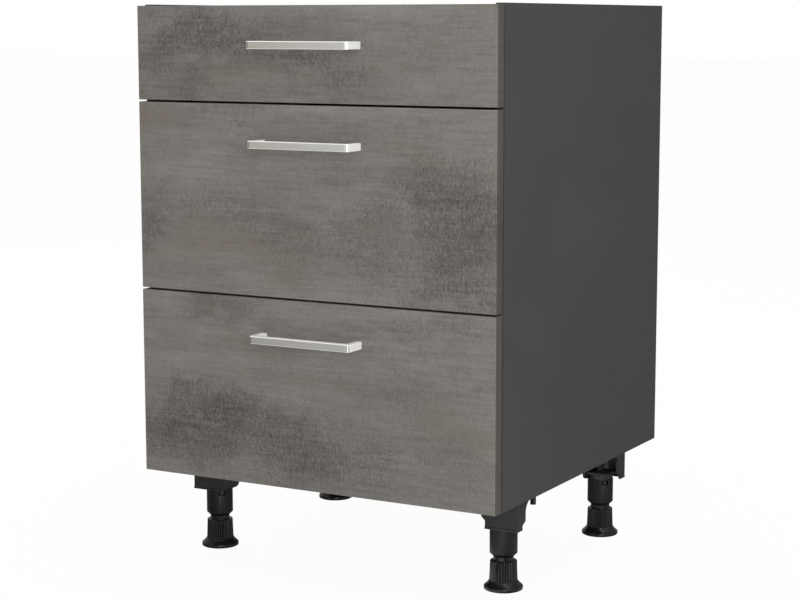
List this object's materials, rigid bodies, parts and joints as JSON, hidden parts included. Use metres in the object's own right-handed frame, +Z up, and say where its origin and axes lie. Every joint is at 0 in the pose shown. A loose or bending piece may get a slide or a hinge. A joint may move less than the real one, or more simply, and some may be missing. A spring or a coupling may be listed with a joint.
{
  "type": "kitchen base cabinet",
  "caption": "Kitchen base cabinet with drawers on telescopic runners, bow handles, concrete-look fronts, dark carcass and levelling legs, without its worktop.",
  "frame": {"origin": "on the floor, under the middle of the whole box, handles included", "axes": "+Z up, -Y out of the front, +X to the right seen from the front"},
  "size_m": [0.6, 0.621, 0.846],
  "materials": {
    "concrete_decor": "matt printed concrete decor on chipboard, slightly textured",
    "anthracite_board": "matt anthracite melamine on chipboard",
    "anthracite_sheet": "painted hardboard, matt",
    "drawer_board": "light grey melamine on chipboard",
    "beech": "plain fluted dowel",
    "bright_nickel": "fine brushed, nearly polished",
    "zinc_steel": "bright zinc plated",
    "grey_steel": "satin grey powder coat",
    "nylon": "plain white nylon",
    "black_plastic": "black moulded plastic, satin",
    "clear_bumper": "soft translucent dot"
  },
  "bodies": {
    "carcass": {"side_panel_left": "anthracite_board", "side_panel_right": "anthracite_board", "bottom_panel": "anthracite_board", "front_top_rail": "anthracite_board", "rear_top_rail": "anthracite_board", "back_panel": "anthracite_sheet", "connector_cams": "zinc_steel", "connector_bolts": "zinc_steel", "wooden_dowels": "beech", "runner_screws": "zinc_steel", "leg_brackets": "black_plastic", "leg_tubes": "black_plastic", "leg_screws": "zinc_steel", "bottom_runner_rails": "zinc_steel", "middle_runner_rails": "zinc_steel", "top_runner_rails": "zinc_steel"},
    "bottom_drawer": {"bottom_drawer_front": "concrete_decor", "bottom_drawer_handle": "bright_nickel", "bottom_drawer_front_screws": "zinc_steel", "bottom_drawer_bumpers": "clear_bumper", "bottom_drawer_side_left": "grey_steel", "bottom_drawer_side_right": "grey_steel", "bottom_drawer_base": "drawer_board", "bottom_drawer_back": "drawer_board", "bottom_drawer_front_brackets": "zinc_steel", "bottom_drawer_gallery_rails": "grey_steel", "bottom_drawer_gallery_holders": "black_plastic"},
    "bottom_runner_outer_cages": {"bottom_runner_outer_cages": "nylon"},
    "bottom_runner_middle_rails": {"bottom_runner_middle_rails": "zinc_steel"},
    "bottom_runner_inner_cages": {"bottom_runner_inner_cages": "nylon"},
    "middle_drawer": {"middle_drawer_front": "concrete_decor", "middle_drawer_handle": "bright_nickel", "middle_drawer_front_screws": "zinc_steel", "middle_drawer_bumpers": "clear_bumper", "middle_drawer_side_left": "grey_steel", "middle_drawer_side_right": "grey_steel", "middle_drawer_base": "drawer_board", "middle_drawer_back": "drawer_board", "middle_drawer_front_brackets": "zinc_steel", "middle_drawer_gallery_rails": "grey_steel", "middle_drawer_gallery_holders": "black_plastic"},
    "middle_runner_outer_cages": {"middle_runner_outer_cages": "nylon"},
    "middle_runner_middle_rails": {"middle_runner_middle_rails": "zinc_steel"},
    "middle_runner_inner_cages": {"middle_runner_inner_cages": "nylon"},
    "top_drawer": {"top_drawer_front": "concrete_decor", "top_drawer_handle": "bright_nickel", "top_drawer_front_screws": "zinc_steel", "top_drawer_bumpers": "clear_bumper", "top_drawer_side_left": "grey_steel", "top_drawer_side_right": "grey_steel", "top_drawer_base": "drawer_board", "top_drawer_back": "drawer_board", "top_drawer_front_brackets": "zinc_steel"},
    "top_runner_outer_cages": {"top_runner_outer_cages": "nylon"},
    "top_runner_middle_rails": {"top_runner_middle_rails": "zinc_steel"},
    "top_runner_inner_cages": {"top_runner_inner_cages": "nylon"},
    "foot_front_left": {"foot_front_left": "black_plastic"},
    "foot_front_right": {"foot_front_right": "black_plastic"},
    "foot_rear_left": {"foot_rear_left": "black_plastic"},
    "foot_rear_right": {"foot_rear_right": "black_plastic"}
  },
  "joints": [
    {"name": "bottom_drawer_slide", "type": "slide", "parent": "carcass", "child": "bottom_drawer", "axis": [0, -1, 0], "range_m": [0, 0.45]},
    {"name": "bottom_runner_outer_cages_slide", "type": "slide", "parent": "carcass", "child": "bottom_runner_outer_cages", "axis": [0, -1, 0], "range_m": [0, 0.1125]},
    {"name": "bottom_runner_middle_rails_slide", "type": "slide", "parent": "carcass", "child": "bottom_runner_middle_rails", "axis": [0, -1, 0], "range_m": [0, 0.225]},
    {"name": "bottom_runner_inner_cages_slide", "type": "slide", "parent": "carcass", "child": "bottom_runner_inner_cages", "axis": [0, -1, 0], "range_m": [0, 0.3375]},
    {"name": "middle_drawer_slide", "type": "slide", "parent": "carcass", "child": "middle_drawer", "axis": [0, -1, 0], "range_m": [0, 0.45]},
    {"name": "middle_runner_outer_cages_slide", "type": "slide", "parent": "carcass", "child": "middle_runner_outer_cages", "axis": [0, -1, 0], "range_m": [0, 0.1125]},
    {"name": "middle_runner_middle_rails_slide", "type": "slide", "parent": "carcass", "child": "middle_runner_middle_rails", "axis": [0, -1, 0], "range_m": [0, 0.225]},
    {"name": "middle_runner_inner_cages_slide", "type": "slide", "parent": "carcass", "child": "middle_runner_inner_cages", "axis": [0, -1, 0], "range_m": [0, 0.3375]},
    {"name": "top_drawer_slide", "type": "slide", "parent": "carcass", "child": "top_drawer", "axis": [0, -1, 0], "range_m": [0, 0.45]},
    {"name": "top_runner_outer_cages_slide", "type": "slide", "parent": "carcass", "child": "top_runner_outer_cages", "axis": [0, -1, 0], "range_m": [0, 0.1125]},
    {"name": "top_runner_middle_rails_slide", "type": "slide", "parent": "carcass", "child": "top_runner_middle_rails", "axis": [0, -1, 0], "range_m": [0, 0.225]},
    {"name": "top_runner_inner_cages_slide", "type": "slide", "parent": "carcass", "child": "top_runner_inner_cages", "axis": [0, -1, 0], "range_m": [0, 0.3375]},
    {"name": "foot_front_left_height", "type": "slide", "parent": "carcass", "child": "foot_front_left", "axis": [0, 0, -1], "range_m": [-0.006, 0.015]},
    {"name": "foot_front_right_height", "type": "slide", "parent": "carcass", "child": "foot_front_right", "axis": [0, 0, -1], "range_m": [-0.006, 0.015]},
    {"name": "foot_rear_left_height", "type": "slide", "parent": "carcass", "child": "foot_rear_left", "axis": [0, 0, -1], "range_m": [-0.006, 0.015]},
    {"name": "foot_rear_right_height", "type": "slide", "parent": "carcass", "child": "foot_rear_right", "axis": [0, 0, -1], "range_m": [-0.006, 0.015]}
  ],
  "couplings": [
    {"joint": "bottom_runner_outer_cages_slide", "follows": "bottom_drawer_slide", "ratio": 0.25},
    {"joint": "bottom_runner_middle_rails_slide", "follows": "bottom_drawer_slide", "ratio": 0.5},
    {"joint": "bottom_runner_inner_cages_slide", "follows": "bottom_drawer_slide", "ratio": 0.75},
    {"joint": "middle_runner_outer_cages_slide", "follows": "middle_drawer_slide", "ratio": 0.25},
    {"joint": "middle_runner_middle_rails_slide", "follows": "middle_drawer_slide", "ratio": 0.5},
    {"joint": "middle_runner_inner_cages_slide", "follows": "middle_drawer_slide", "ratio": 0.75},
    {"joint": "top_runner_outer_cages_slide", "follows": "top_drawer_slide", "ratio": 0.25},
    {"joint": "top_runner_middle_rails_slide", "follows": "top_drawer_slide", "ratio": 0.5},
    {"joint": "top_runner_inner_cages_slide", "follows": "top_drawer_slide", "ratio": 0.75}
  ]
}
